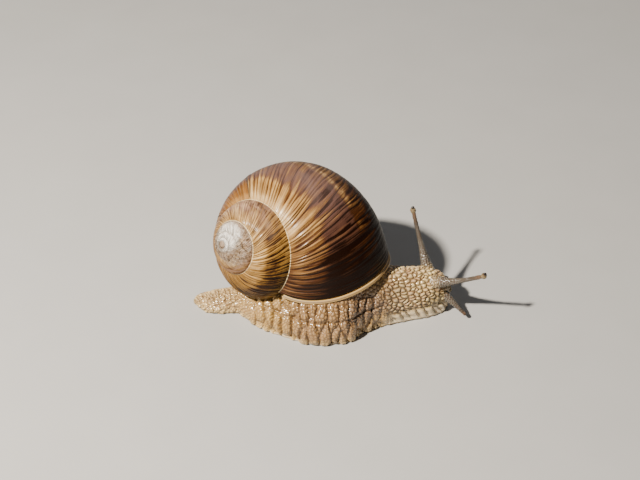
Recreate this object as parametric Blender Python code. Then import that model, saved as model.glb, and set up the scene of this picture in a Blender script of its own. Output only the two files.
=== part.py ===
"""A large banded land snail, crawling: a still, life-size model. Metres, +Z up, +X the way it crawls.

The origin is on the floor under the middle of the foot. The shell is a spiral: one oval whorl section that
grows by a fixed ratio with every turn. The flesh is one body, lofted along the snail's middle line, cleared
round the shell and parted by thin cuts into the pieces a person would name.
"""

import math

import bmesh
import bpy
import numpy as np
from mathutils import Matrix, Vector

MM = 0.001
GAP = 0.3  # clear width of every parting cut, and round the shell (mm)

# Shell: place and attitude (mm, radians)
APEX = np.array([-23.4, -5.5, 24.2])
SPIRE_TILT = math.radians(22.5)  # the apex end of the axis points up by this
SPIRE_YAW = math.radians(40.9)  # and from straight back towards the snail's right by this
MOUTH_TURN = math.radians(-42.3)  # where round the axis the last suture ends

# Shell: form
SUTURE_RADIUS = 13.5  # at the mouth
SUTURE_DROP = 12.9  # from the apex down the axis to the suture at the mouth
RADIUS_GROWTH = 0.1004  # per radian: the radius grows 1.88 times a turn
DROP_GROWTH = 0.1554  # and the height 2.66 times
WHORL_REACH = 0.774  # half length of the whorl's oval, as a share of the step between sutures
WHORL_SINK = 0.457  # how far the oval's middle lies inside the line between sutures
GROWTH_LAG = (-2.165, 1.147)  # how a growth line falls behind as it crosses the whorl, in radians
BASE_START, BASE_END = -0.6, -1.75  # angles round the oval between which the base closes on the axis
AXIS_END = 28.0  # how far down the axis it closes
MOUTH_NORMAL = np.array([-0.13, 0.01, 0.99])
LIP_WIDTH, LIP_THICK = 1.1, 1.5
LIP_SINK = 0.30  # how far the lip's middle lies inside the whorl's surface
LIP_SHORT = (0.08, 0.40)  # the lip starts and ends this many radians short of the suture and of the axis
WHORL_MEAN = 1.6  # the last whorl's mean radius, as a share of the suture's
TURNS = 4.3

STEPS = 51  # round one turn
LAG_STEPS = 6  # growth lines lag this many steps between the upper suture and the lower
SPIRE_ROWS, BASE_ROWS = 6, 9

# Body, from tail to head: x, y of the middle, half width of the sole, half width of the back, height,
# how far the back leans to the left, and how square the section is (1 is round, less is squarer)
BODY = np.array([
    (-31.6, 3.9, 0.5, 0.4, 0.7, 0.0, 1.00),
    (-30.6, 3.6, 2.0, 1.6, 1.7, 0.0, 1.00),
    (-26.0, 2.5, 4.5, 3.7, 3.4, 0.0, 0.95),
    (-19.5, 1.9, 3.9, 4.0, 5.6, 0.0, 0.95),
    (-16.5, 0.7, 5.0, 5.0, 7.0, 0.5, 0.90),
    (-14.0, -0.2, 7.0, 6.2, 9.0, 1.2, 0.85),
    (-10.0, -1.2, 8.8, 7.6, 12.0, 2.5, 0.75),
    (-5.0, -2.2, 10.4, 8.7, 15.0, 4.0, 0.60),
    (0.0, -2.8, 11.8, 9.2, 16.0, 4.0, 0.60),
    (4.0, -2.6, 11.4, 9.1, 16.0, 3.6, 0.62),
    (8.0, -1.7, 8.9, 8.4, 15.2, 3.0, 0.68),
    (14.0, -0.5, 6.9, 7.0, 13.2, 1.2, 0.85),
    (20.0, 0.6, 5.7, 6.1, 12.0, 0.4, 0.92),
    (25.0, 1.7, 5.3, 5.7, 11.4, 0.2, 0.95),
    (28.5, 2.8, 4.6, 5.2, 10.2, 0.0, 0.95),
    (30.1, 3.5, 3.3, 4.4, 9.0, 0.0, 0.95),
    (31.2, 3.95, 2.0, 3.1, 7.2, 0.0, 0.98),
    (31.8, 4.2, 0.8, 1.4, 4.6, 0.0, 1.00),
])
RIM = 0.9  # thickness of the sole's edge
FLARE = 8  # how sharply the skirt flares out to the sole's edge
BODY_RINGS, BODY_ARCS = 46, 18

# Parting cuts
TAIL_CUT, REAR_CUT, FRONT_CUT, NECK_CUT, HEAD_CUT = -19.5, -8.0, 7.0, 15.5, 24.5
SOLE_CUT = 3.2
COLLAR_DEPTH = 3.4
COLLAR_START, COLLAR_FOOT = -18.0, 4.7  # the collar's hind end and its lowest level
FAR, UNDER = 60.0, -5.0  # well outside the body, and under it

# Mantle edge: rings of it, each a drop below the mouth and a share of the mouth's outline
COLLAR_INSET = 0.35
COLLAR_RINGS = ((-3.0, 1.0), (0.6, 1.0), (1.8, 0.95), (2.7, 0.84), (3.2, 0.68))

# Feelers: where each leaves the head and ends, its bow, its radii from root to tip, and, as shares of its
# length, where it is parted
UPPER = {"right": ((28.4, -0.1, 8.8), (39.4, -5.5, 14.8)), "left": ((26.6, 4.6, 9.0), (22.8, 12.0, 22.2))}
LOWER = {"right": ((30.2, 0.3, 5.0), (36.0, -4.0, 1.2)), "left": ((28.2, 6.4, 5.0), (32.4, 11.6, 1.25))}
UPPER_RADII = (1.75, 1.32, 0.95, 0.72, 0.62, 0.60, 0.64)
LOWER_RADII = (1.45, 1.02, 0.74, 0.57, 0.46)
UPPER_BOW, LOWER_BOW = (0.0, 0.0, -0.5), (0.0, 0.0, 0.25)
UPPER_PARTS, LOWER_PARTS = (0.13, 0.52, 0.90), (0.24, 0.60)
ROOT_DEPTH = 0.18  # how far behind its root a feeler's swelling starts, inside the head
TIP_SHARE = 0.55  # radius of the lower feelers' blunt tips, as a share
FEELER_SIDES = 10
BULB_RADIUS, EYE_RADIUS = 0.84, 0.42
EYE_OUT = 0.62  # from the bulb's middle to the eye's
EYE_LEAN = (0.62, 0.78)  # the eye's direction: along the feeler, and up

# Mouth lobes: half length forward, half width and half height, and the middle of each
LOBE_SIZE = (1.15, 1.3, 1.45)
LOBES = {"right": (31.8, 2.55, 4.75), "left": (30.6, 5.3, 4.75)}
HEAD_TURN = math.radians(23.6)  # the head looks this far to the left

FEELERS = {
    "upper": {side: (ends, UPPER_BOW, UPPER_RADII) for side, ends in UPPER.items()},
    "lower": {side: (ends, LOWER_BOW, LOWER_RADII) for side, ends in LOWER.items()},
}

COLOURS = {
    "shell": ((0.165, 0.070, 0.028), 0.28),
    "lip": ((0.72, 0.62, 0.45), 0.40),
    "flesh": ((0.46, 0.36, 0.24), 0.45),
    "feeler": ((0.40, 0.33, 0.25), 0.45),
    "eye": ((0.010, 0.008, 0.008), 0.12),
}


def clear_scene():
    for obj in list(bpy.data.objects):
        bpy.data.objects.remove(obj, do_unlink=True)


def finish(name):
    """The material of this name, made once."""
    if name in bpy.data.materials:
        return bpy.data.materials[name]
    colour, roughness = COLOURS[name]
    material = bpy.data.materials.new(name)
    material.use_nodes = True
    shader = material.node_tree.nodes["Principled BSDF"]
    shader.inputs["Base Color"].default_value = (*colour, 1.0)
    shader.inputs["Roughness"].default_value = roughness
    shader.inputs["Metallic"].default_value = 0.0
    return material


def add_object(name, bm, finish_name):
    """An object from a bmesh in millimetres."""
    bmesh.ops.recalc_face_normals(bm, faces=bm.faces)
    bmesh.ops.scale(bm, vec=(MM, MM, MM), verts=bm.verts)
    mesh = bpy.data.meshes.new(name)
    bm.to_mesh(mesh)
    bm.free()
    mesh.shade_smooth()
    mesh.set_sharp_from_angle(angle=math.radians(50))
    mesh.materials.append(finish(finish_name))
    obj = bpy.data.objects.new(name, mesh)
    bpy.context.scene.collection.objects.link(obj)
    return obj


def hide(obj):
    """Makes an object a cutter: it shapes others and is no piece itself."""
    obj.hide_render = True
    obj.display_type = "WIRE"
    return obj


def cut(obj, cutter, operation="DIFFERENCE"):
    modifier = obj.modifiers.new(cutter.name, "BOOLEAN")
    modifier.operation = operation
    modifier.solver = "EXACT"
    modifier.object = cutter
    return obj


def applied(obj):
    """The object's mesh with its modifiers worked out and the modifiers gone."""
    graph = bpy.context.evaluated_depsgraph_get()
    mesh = bpy.data.meshes.new_from_object(obj.evaluated_get(graph))
    obj.modifiers.clear()
    obj.data = mesh
    return obj


# ---------------------------------------------------------------- shell


def shell_axes():
    """Unit vectors: across the axis and level, across and up, and along the axis to the apex."""
    along = np.array([
        -math.cos(SPIRE_TILT) * math.cos(SPIRE_YAW),
        -math.cos(SPIRE_TILT) * math.sin(SPIRE_YAW),
        math.sin(SPIRE_TILT),
    ])
    level = np.cross((0.0, 0.0, 1.0), along)
    level /= np.linalg.norm(level)
    return level, np.cross(along, level), along


def suture(theta):
    return SUTURE_RADIUS * math.exp(RADIUS_GROWTH * theta), -SUTURE_DROP * math.exp(DROP_GROWTH * theta)


def oval_point(theta, beta):
    r0, z0 = suture(theta)
    r1, z1 = suture(theta + 2 * math.pi)
    dr, dz = r1 - r0, z1 - z0
    down = 0.5 + WHORL_REACH * math.cos(beta)
    out = -WHORL_SINK + WHORL_HALF * math.sin(beta)
    return r0 + down * dr - out * dz, z0 + down * dz + out * dr


def whorl_point(theta, beta):
    """Radius and height of the whorl's surface at turn angle theta and angle beta round its oval."""
    if beta > BASE_START:
        return oval_point(theta, beta)
    r, z = oval_point(theta, BASE_START)
    share = (BASE_START - beta) / (BASE_START - BASE_END)
    return r * (1 - share) ** 1.6, z + (-AXIS_END - z) * share * share * (3 - 2 * share)


HALF_SPAN = math.acos(0.5 / WHORL_REACH)
UPPER_SUTURE, LOWER_SUTURE = math.pi - HALF_SPAN, HALF_SPAN
WHORL_HALF = WHORL_SINK / math.sin(HALF_SPAN)


def shell_place(psi, r, z):
    """The world point at azimuth psi, radius r and height z of the shell; it winds to the right."""
    level, up, along = shell_axes()
    turn = MOUTH_TURN - psi
    return APEX + r * (math.cos(turn) * level + math.sin(turn) * up) + z * along


def growth_lag(beta):
    """How far a growth line has fallen behind the upper suture at beta."""
    share = (UPPER_SUTURE - max(beta, BASE_START)) / math.pi
    return GROWTH_LAG[0] * share + GROWTH_LAG[1] * share * share


def growth_lines():
    """Angles round the oval from the upper suture to the axis, each with its lag."""
    spire = np.linspace(UPPER_SUTURE, LOWER_SUTURE, SPIRE_ROWS + 1)
    base = np.linspace(LOWER_SUTURE, BASE_END, BASE_ROWS + 1)[1:]
    betas = list(spire) + list(base)
    lags = [growth_lag(beta) for beta in betas]
    whole = -LAG_STEPS * 2 * math.pi / STEPS
    share = whole / lags[SPIRE_ROWS]
    return betas, [lag * share for lag in lags]


def build_shell(name, mouth_back, swell=0.0):
    """The whole shell as one closed solid: a ribbon wound from apex to mouth, with the mouth closed."""
    betas, lags = growth_lines()
    step = 2 * math.pi / STEPS
    last = round(TURNS * STEPS)
    rows = len(betas)
    shared = STEPS - LAG_STEPS  # this many steps on, the next whorl's upper suture meets the lower one
    whole_from = last - shared
    bm = bmesh.new()
    grid = {}

    def vertex(i, j):
        if j == SPIRE_ROWS and i + shared <= last:
            return vertex(i + shared, 0)
        if j == rows - 1:
            i = last
        if (i, j) not in grid:
            psi = (i - last) * step - mouth_back + lags[j]
            grid[i, j] = bm.verts.new(shell_place(psi, *whorl_point(psi, betas[j])))
        return grid[i, j]

    def face(*corners):
        corners = list(dict.fromkeys(corners))
        if len(corners) > 2:
            bm.faces.new(corners)

    for i in range(last):
        for j in range(rows - 1 if i >= whole_from else SPIRE_ROWS):
            face(vertex(i, j), vertex(i, j + 1), vertex(i + 1, j + 1), vertex(i + 1, j))
    tip = bm.verts.new(shell_place(0.0, 0.0, 0.0))
    rim = [vertex(i, 0) for i in range(shared + 1)] + [vertex(0, j) for j in range(SPIRE_ROWS - 1, 0, -1)]
    for a, b in zip(rim, rim[1:] + rim[:1]):
        face(a, b, tip)
    lip = [vertex(last, j) for j in range(rows)]
    wall = [vertex(whole_from, j) for j in range(SPIRE_ROWS, rows)]
    crossings = len(wall) - 1
    for j in range(SPIRE_ROWS):
        face(lip[j], lip[j + 1], wall[0])
    for k in range(crossings):
        face(lip[SPIRE_ROWS + k], lip[SPIRE_ROWS + k + 1], wall[k + 1], wall[k])
    bmesh.ops.triangulate(bm, faces=[f for f in bm.faces if len(f.verts) > 4])
    bmesh.ops.recalc_face_normals(bm, faces=bm.faces)
    if swell:
        bm.normal_update()
        shifts = {v: v.normal * swell * min(v.calc_shell_factor(), 1.5) for v in bm.verts}
        for v, shift in shifts.items():
            v.co += shift
    return add_object(name, bm, "shell")


def lip_line(mouth_back, count):
    """Points along the mouth's edge, from suture to axis, each with its outward and growth directions."""
    rows = []
    betas, lags = growth_lines()
    for beta in np.linspace(UPPER_SUTURE - LIP_SHORT[0], BASE_END + LIP_SHORT[1], count):
        psi = float(np.interp(-beta, [-b for b in betas], lags)) - mouth_back
        here = shell_place(psi, *whorl_point(psi, beta))
        ahead = shell_place(psi + 0.01, *whorl_point(psi + 0.01, beta)) - here
        side = shell_place(psi, *whorl_point(psi, beta - 0.01)) - here
        out = np.cross(ahead, side)
        rows.append((here, out / np.linalg.norm(out), ahead / np.linalg.norm(ahead)))
    return rows


def build_lip(name, extra=0.0):
    """The thickened rim just past the last growth line."""
    bm = bmesh.new()
    sides, count = 8, 34
    rings = []
    for here, out, ahead in lip_line(0.0, count):
        centre = here - out * LIP_SINK - ahead * (LIP_WIDTH / 2)
        ring = []
        for k in range(sides):
            turn = 2 * math.pi * k / sides
            across = (LIP_THICK / 2 + extra) * math.cos(turn) * out
            along = (LIP_WIDTH / 2 + extra) * math.sin(turn) * ahead
            ring.append(bm.verts.new(centre + across + along))
        rings.append(ring)
    loft(bm, rings)
    return add_object(name, bm, "lip")


# ---------------------------------------------------------------- body


def loft(bm, rings):
    """Joins rings of equal count into a closed tube with flat ends."""
    for a, b in zip(rings, rings[1:]):
        for k in range(len(a)):
            n = (k + 1) % len(a)
            bm.faces.new((a[k], a[n], b[n], b[k]))
    bm.faces.new(rings[0][::-1])
    bm.faces.new(rings[-1])


def smooth_row(table, x):
    """A row of the table at x, by a monotone cubic through its rows."""
    xs = table[:, 0]
    widths = np.diff(xs)
    slopes = np.diff(table, axis=0) / widths[:, None]
    bends = np.zeros_like(table)
    both = slopes[:-1] * slopes[1:] > 0
    with np.errstate(divide="ignore", invalid="ignore"):
        mean = 2 * slopes[:-1] * slopes[1:] / (slopes[:-1] + slopes[1:])
    bends[1:-1] = np.where(both, mean, 0.0)
    bends[0], bends[-1] = slopes[0], slopes[-1]
    i = int(np.clip(np.searchsorted(xs, x) - 1, 0, len(widths) - 1))
    t = (x - xs[i]) / widths[i]
    return (
        (2 * t**3 - 3 * t**2 + 1) * table[i]
        + (t**3 - 2 * t**2 + t) * widths[i] * bends[i]
        + (3 * t**2 - 2 * t**3) * table[i + 1]
        + (t**3 - t**2) * widths[i] * bends[i + 1]
    )


def body_ring(x):
    """Points round the body at x: flat sole, rounded edge, flared skirt and rounded back."""
    _, y, sole, back, height, lean, square = smooth_row(BODY, x)
    ahead = smooth_row(BODY, min(x + 0.5, BODY[-1, 0]))
    behind = smooth_row(BODY, max(x - 0.5, BODY[0, 0]))
    turn = math.atan2(ahead[1] - behind[1], ahead[0] - behind[0])
    rim = min(RIM, height * 0.5)
    half = []
    for phi in np.linspace(0, math.pi / 2, BODY_ARCS // 2 + 1):
        c, s = math.cos(phi) ** square, math.sin(phi) ** square
        half.append((back * c + (sole - back) * math.cos(phi) ** FLARE, rim + (height - rim) * s))
    half = [(max(sole - rim * 0.6, sole * 0.5), 0.0), (sole, rim * 0.45)] + half[1:]
    outline = half + [(-a, h) for a, h in reversed(half[:-1])]
    leaned = [(a + lean * (h / height) ** 2, h) for a, h in outline]
    return [(x - a * math.sin(turn), y + a * math.cos(turn), h) for a, h in leaned]


def build_body():
    """The flesh from tail to head, with its rings closer together towards both ends."""
    bm = bmesh.new()
    lo, hi = BODY[0, 0], BODY[-1, 0]
    rings = []
    for share in np.linspace(0, 1, BODY_RINGS + 1):
        eased = 0.65 * share + 0.35 * (0.5 - 0.5 * math.cos(math.pi * share))
        rings.append([bm.verts.new(p) for p in body_ring(lo + (hi - lo) * eased)])
    loft(bm, rings)
    return hide(add_object("body_whole", bm, "flesh"))


def build_collar():
    """The thick mantle edge that fills the mouth just inside the lip."""
    edge = [here - out * (LIP_THICK / 2 + GAP + COLLAR_INSET) for here, out, _ in lip_line(0.0, 30)]
    inner = edge[0] + (edge[-1] - edge[0]) * np.linspace(0.94, 0.06, 8)[:, None]
    outline = edge + list(inner)
    middle = np.mean(outline, axis=0)
    bm = bmesh.new()
    rings = []
    for drop, shrink in COLLAR_RINGS:
        ring = [middle + (p - middle) * shrink - MOUTH_NORMAL * drop for p in outline]
        rings.append([bm.verts.new(p) for p in ring])
    loft(bm, rings)
    bmesh.ops.triangulate(bm, faces=bm.faces)
    return hide(add_object("collar_whole", bm, "flesh"))


# ---------------------------------------------------------------- feelers


def feeler_point(root, tip, bow, share):
    root, tip = np.array(root), np.array(tip)
    return root + (tip - root) * share + np.array(bow) * 4 * share * (1 - share)


def feeler_length(name, kind, side, start, end, ring_count, tip_share=1.0):
    """One length of a feeler, from one share of its line to another."""
    (root, tip), bow, radii = FEELERS[kind][side]
    bm = bmesh.new()
    rings = []
    for share in np.linspace(start, end, ring_count):
        here = Vector(feeler_point(root, tip, bow, share))
        along = feeler_point(root, tip, bow, share + 0.01) - feeler_point(root, tip, bow, share - 0.01)
        frame = Vector(along).to_track_quat("Z", "Y").to_matrix()
        radius = float(np.interp(share, np.linspace(0, 1, len(radii)), radii))
        if share == end:
            radius *= tip_share
        ring = []
        for k in range(FEELER_SIDES):
            turn = 2 * math.pi * k / FEELER_SIDES
            spoke = Vector((radius * math.cos(turn), radius * math.sin(turn), 0))
            ring.append(bm.verts.new(here + frame @ spoke))
        rings.append(ring)
    loft(bm, rings)
    return add_object(name, bm, "feeler")


def slit_share(kind, side):
    """The parting gap as a share of this feeler's length."""
    root, tip = FEELERS[kind][side][0]
    return GAP / np.linalg.norm(np.array(tip) - np.array(root))


def ball(name, centre, radius, finish_name, segments=12, rings=8):
    bm = bmesh.new()
    bmesh.ops.create_uvsphere(bm, u_segments=segments, v_segments=rings, radius=radius)
    bmesh.ops.translate(bm, vec=Vector(centre), verts=bm.verts)
    return add_object(name, bm, finish_name)


def build_upper_feeler(side):
    slit = slit_share("upper", side)
    low, middle, high = UPPER_PARTS
    feeler_length(f"upper_feeler_{side}_lower", "upper", side, low, middle, 7)
    feeler_length(f"upper_feeler_{side}_upper", "upper", side, middle + slit, high, 6)
    (root, tip), bow, _ = FEELERS["upper"][side]
    start = feeler_point(root, tip, bow, high + slit)
    axis = (np.array(tip) - start) / np.linalg.norm(np.array(tip) - start)
    bulb_middle = start + axis * (BULB_RADIUS + 0.25)
    bulb = ball(f"upper_feeler_{side}_bulb", bulb_middle, BULB_RADIUS, "feeler", 14, 10)
    look = axis * EYE_LEAN[0] + np.array([0.0, 0.0, EYE_LEAN[1]])
    eye_middle = bulb_middle + look / np.linalg.norm(look) * EYE_OUT
    cut(bulb, hide(ball(f"eye_socket_{side}", eye_middle, EYE_RADIUS + 0.12, "eye")))
    ball(f"eye_{side}", eye_middle, EYE_RADIUS, "eye")


def build_lower_feeler(side):
    slit = slit_share("lower", side)
    low, middle = LOWER_PARTS
    feeler_length(f"lower_feeler_{side}_base", "lower", side, low, middle, 5)
    feeler_length(f"lower_feeler_{side}_tip", "lower", side, middle + slit, 1.0, 6, TIP_SHARE)


def feeler_root(kind, side):
    """The swelling of the head that a feeler stands on."""
    first = {"upper": UPPER_PARTS, "lower": LOWER_PARTS}[kind][0]
    end = first - slit_share(kind, side)
    return hide(feeler_length(f"{kind}_root_{side}", kind, side, -ROOT_DEPTH, end, 4))


def mouth_lobe(name, side, swell=0.0):
    """One of the two soft lobes beside the mouth; swell makes it bigger all round."""
    bm = bmesh.new()
    bmesh.ops.create_uvsphere(bm, u_segments=14, v_segments=10, radius=1.0)
    bmesh.ops.scale(bm, vec=Vector([half + swell for half in LOBE_SIZE]), verts=bm.verts)
    bmesh.ops.rotate(bm, matrix=Matrix.Rotation(HEAD_TURN, 3, "Z"), verts=bm.verts)
    bmesh.ops.translate(bm, vec=Vector(LOBES[side]), verts=bm.verts)
    return add_object(name, bm, "flesh")


# ---------------------------------------------------------------- parting


def cell(name, low, high, placed=Matrix.Identity(4)):
    """A box that marks out one piece of the flesh, in millimetres."""
    bm = bmesh.new()
    bmesh.ops.create_cube(bm, size=1.0)
    low, high = Vector(low), Vector(high)
    bmesh.ops.scale(bm, vec=high - low, verts=bm.verts)
    bmesh.ops.translate(bm, vec=(low + high) / 2, verts=bm.verts)
    bmesh.ops.transform(bm, matrix=placed, verts=bm.verts)
    return hide(add_object(name, bm, "flesh"))


def mouth_slab(name, top, bottom):
    """A wide slab parallel to the mouth, from one depth under it to another."""
    corner = shell_place(0.0, *suture(0.0))
    turn = Vector(MOUTH_NORMAL).to_track_quat("Z", "Y").to_matrix().to_4x4()
    return cell(name, (-FAR, -FAR, bottom), (FAR, FAR, top), Matrix.Translation(Vector(corner)) @ turn)


def build_flesh(shell_clear, lip_clear):
    whole = build_body()
    cut(whole, build_collar(), "UNION")
    for kind in FEELERS:
        for side in FEELERS[kind]:
            cut(whole, feeler_root(kind, side), "UNION")
    for side in LOBES:
        cut(whole, hide(mouth_lobe(f"lobe_space_{side}", side, GAP)))
    cut(whole, lip_clear)
    cut(whole, shell_clear)
    applied(whole)
    half = GAP / 2
    collar_space = mouth_slab("collar_space", FAR, -COLLAR_DEPTH - half)
    collar_cell = mouth_slab("collar_cell", FAR, -COLLAR_DEPTH + half)
    pieces = {
        "tail": ((-FAR, -FAR, UNDER), (TAIL_CUT - half, FAR, FAR)),
        "foot_rear": ((TAIL_CUT + half, -FAR, UNDER), (REAR_CUT - half, FAR, FAR)),
        "foot_middle": ((REAR_CUT + half, -FAR, UNDER), (FRONT_CUT - half, FAR, SOLE_CUT - half)),
        "foot_front": ((FRONT_CUT + half, -FAR, UNDER), (FAR, FAR, SOLE_CUT - half)),
        "trunk": ((REAR_CUT + half, -FAR, SOLE_CUT + half), (NECK_CUT - half, FAR, FAR)),
        "neck": ((NECK_CUT + half, -FAR, SOLE_CUT + half), (HEAD_CUT - half, FAR, FAR)),
        "head": ((HEAD_CUT + half, -FAR, SOLE_CUT + half), (FAR, FAR, FAR)),
        "mantle_collar": ((COLLAR_START, -FAR, COLLAR_FOOT), (FAR, FAR, FAR)),
    }
    for name, (low, high) in pieces.items():
        piece = bpy.data.objects.new(name, whole.data.copy())
        piece.data.name = name
        bpy.context.scene.collection.objects.link(piece)
        cut(piece, cell(f"{name}_cell", low, high), "INTERSECT")
        if name == "mantle_collar":
            cut(piece, collar_cell, "INTERSECT")
        elif name in ("trunk", "neck", "foot_rear"):
            cut(piece, collar_space)


def main():
    clear_scene()
    mouth_back = (LIP_WIDTH + GAP) / (SUTURE_RADIUS * WHORL_MEAN)
    build_shell("shell", mouth_back)
    lip_seat = hide(build_shell("lip_seat", mouth_back, GAP / 2))
    cut(build_lip("shell_lip"), lip_seat)
    shell_clear = hide(build_shell("shell_clearance", mouth_back, GAP))
    lip_clear = hide(build_lip("lip_clearance", GAP))
    build_flesh(shell_clear, lip_clear)
    for side in ("right", "left"):
        build_upper_feeler(side)
        build_lower_feeler(side)
        mouth_lobe(f"mouth_lobe_{side}", side)


main()
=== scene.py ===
import math
from types import SimpleNamespace

import bmesh
import bpy
import numpy as np
from mathutils import Matrix, Vector


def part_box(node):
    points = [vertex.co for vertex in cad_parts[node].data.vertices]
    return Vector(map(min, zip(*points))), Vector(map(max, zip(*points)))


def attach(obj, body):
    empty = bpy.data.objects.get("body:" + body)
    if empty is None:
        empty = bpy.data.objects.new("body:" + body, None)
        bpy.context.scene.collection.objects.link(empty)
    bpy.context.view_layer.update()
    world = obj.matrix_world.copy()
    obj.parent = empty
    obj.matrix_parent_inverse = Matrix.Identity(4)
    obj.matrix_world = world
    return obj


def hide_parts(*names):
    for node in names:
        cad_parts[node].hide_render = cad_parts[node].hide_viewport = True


# A large banded land snail, crawling. Shapes are worked out in millimetres and turned to metres at the end.
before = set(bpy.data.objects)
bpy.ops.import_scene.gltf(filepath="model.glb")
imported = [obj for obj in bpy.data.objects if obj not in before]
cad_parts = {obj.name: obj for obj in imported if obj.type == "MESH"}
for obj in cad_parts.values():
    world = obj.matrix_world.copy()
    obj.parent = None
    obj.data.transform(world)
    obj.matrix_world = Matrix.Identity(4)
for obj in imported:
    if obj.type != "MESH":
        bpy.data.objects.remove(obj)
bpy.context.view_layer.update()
mm = 0.001
twoPi = 2 * math.pi


# A node's output, which can stand in an expression: every operator adds a Math node.
class Wire:
    def __init__(self, tree, node, out=0):
        self.tree, self.node, self.out = tree, node, out

    def at(self, out):
        return Wire(self.tree, self.node, out)

    def maths(self, operation, *others):
        values = {0: self}
        values.update({i + 1: other for i, other in enumerate(others)})
        return self.tree.node("ShaderNodeMath", {"operation": operation}, values)

    def flipped(self, operation, other):
        return self.tree.node("ShaderNodeMath", {"operation": operation}, {0: other, 1: self})

    def __add__(self, other):
        return self.maths("ADD", other)

    def __sub__(self, other):
        return self.maths("SUBTRACT", other)

    def __mul__(self, other):
        return self.maths("MULTIPLY", other)

    def __truediv__(self, other):
        return self.maths("DIVIDE", other)

    def __pow__(self, other):
        return self.maths("POWER", other)

    def __rsub__(self, other):
        return self.flipped("SUBTRACT", other)

    def __rtruediv__(self, other):
        return self.flipped("DIVIDE", other)

    __radd__ = __add__
    __rmul__ = __mul__


class Tree:
    def __init__(self, nodeTree):
        self.nodeTree = nodeTree

    # one node: its settings are set first, then each input gets a number or a wire
    def node(self, kind, settings=None, values=None, out=0):
        made = self.nodeTree.nodes.new(kind)
        for name, value in (settings or {}).items():
            if name == "stops":
                setStops(made.color_ramp, value)
            else:
                setattr(made, name, value)
        for key, value in (values or {}).items():
            for item in value if isinstance(value, list) else [value]:
                if isinstance(item, Wire):
                    self.nodeTree.links.new(item.node.outputs[item.out], made.inputs[key])
                else:
                    made.inputs[key].default_value = item
        return Wire(self, made, out)

    def combine(self, x, y, z):
        return self.node("ShaderNodeCombineXYZ", {}, {0: x, 1: y, 2: z})

    def separate(self, vector):
        parts = self.node("ShaderNodeSeparateXYZ", {}, {0: vector})
        return parts, parts.at(1), parts.at(2)

    def noise(self, vector, scale=1.0, detail=2.0, roughness=0.5, distortion=0.0):
        values = {"Vector": vector, "Scale": scale, "Detail": detail, "Roughness": roughness}
        return self.node("ShaderNodeTexNoise", {}, {**values, "Distortion": distortion})

    def cloud(self, x, y, z, **how):
        return self.noise(self.combine(x, y, z), **how)

    def voronoi(self, feature, vector, randomness, out=0):
        values = {"Vector": vector, "Scale": 1.0, "Randomness": randomness}
        settings = {"voronoi_dimensions": "2D", "feature": feature}
        return self.node("ShaderNodeTexVoronoi", settings, values, out)

    # how far a point is from the nearest border between cells
    def cells(self, vector, randomness):
        return self.voronoi("DISTANCE_TO_EDGE", vector, randomness)

    # how far it is from the middle of its own cell, and a flat random value for that cell
    def cellMiddle(self, vector, randomness):
        distance = self.voronoi("F1", vector, randomness, "Distance")
        return distance, self.separate(distance.at("Color"))[0]

    def blend(self, factor, first, second):
        colours = {0: factor, 6: asColour(first), 7: asColour(second)}
        return self.node("ShaderNodeMix", {"data_type": "RGBA"}, colours, 2)

    # a soft step from 0 to 1 as x goes from low to high
    def soft(self, x, low, high):
        values = {"Value": x, "From Min": low, "From Max": high, "To Min": 0.0, "To Max": 1.0}
        return self.node("ShaderNodeMapRange", {"interpolation_type": "SMOOTHSTEP"}, values)

    # the same step, down from 1 to 0
    def fall(self, x, low, high):
        return 1 - self.soft(x, low, high)

    def hump(self, x, middle, half):
        return self.soft(x, middle - half, middle) - self.soft(x, middle, middle + half)

    # a point's own place on its piece, and a vector stored at each point
    def spot(self):
        return self.node("ShaderNodeTexCoord", {}, out="Object")

    def stored(self, name):
        return self.node("ShaderNodeAttribute", {"attribute_name": name}, out="Vector")

    def bump(self, height, distance, strength=1.0):
        values = {"Strength": strength, "Distance": distance, "Height": height}
        return self.node("ShaderNodeBump", {}, values)


# a colour with others laid over it, each through its own mask
class Paint:
    def __init__(self, tree, look, first):
        self.tree, self.look, self.colour = tree, look, first

    def lay(self, mask, name):
        self.colour = self.tree.blend(mask, self.colour, self.look[name])


def asColour(value):
    return value if isinstance(value, Wire) or len(value) == 4 else (*value, 1.0)


def setStops(ramp, stops):
    while len(ramp.elements) > 1:
        ramp.elements.remove(ramp.elements[-1])
    for i, (position, value) in enumerate(stops):
        element = ramp.elements[0] if i == 0 else ramp.elements.new(position)
        element.position = position
        element.color = asColour((value,) * 3 if isinstance(value, float) else value)


# These work on numbers, arrays and wires alike, so the shell's formula is written only once.
def either(operation, plain):
    def work(x, *others):
        return x.maths(operation, *others) if isinstance(x, Wire) else plain(x, *others)
    return work


sine, cosine, exponent = either("SINE", np.sin), either("COSINE", np.cos), either("EXPONENT", np.exp)
smaller, larger = either("MINIMUM", np.minimum), either("MAXIMUM", np.maximum)


# a material with a Principled shader, its node tree and that shader
def newMaterial(name, uniform):
    material = bpy.data.materials.new(name)
    material.use_nodes = True
    shader = material.node_tree.nodes["Principled BSDF"]
    for socket, value in uniform.items():
        shader.inputs[socket].default_value = value
    return material, Tree(material.node_tree), shader


def feed(tree, shader, wires):
    for name, wire in wires.items():
        tree.nodeTree.links.new(wire.node.outputs[wire.out], shader.inputs[name])


# a geometry tree with named inputs; returns the tree and a wire for each input
def newShapeTree(name, inputs):
    group = bpy.data.node_groups.new(name, "GeometryNodeTree")
    group.interface.new_socket("Geometry", in_out="OUTPUT", socket_type="NodeSocketGeometry")
    kinds = {float: "NodeSocketFloat", int: "NodeSocketInt"}
    for name, value in inputs.items():
        kind = kinds.get(type(value), value)
        socket = group.interface.new_socket(name, in_out="INPUT", socket_type=kind)
        if not isinstance(value, str):
            socket.default_value = value
    tree = Tree(group)
    source = tree.node("NodeGroupInput")
    return tree, {name: source.at(i) for i, name in enumerate(inputs)}


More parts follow.
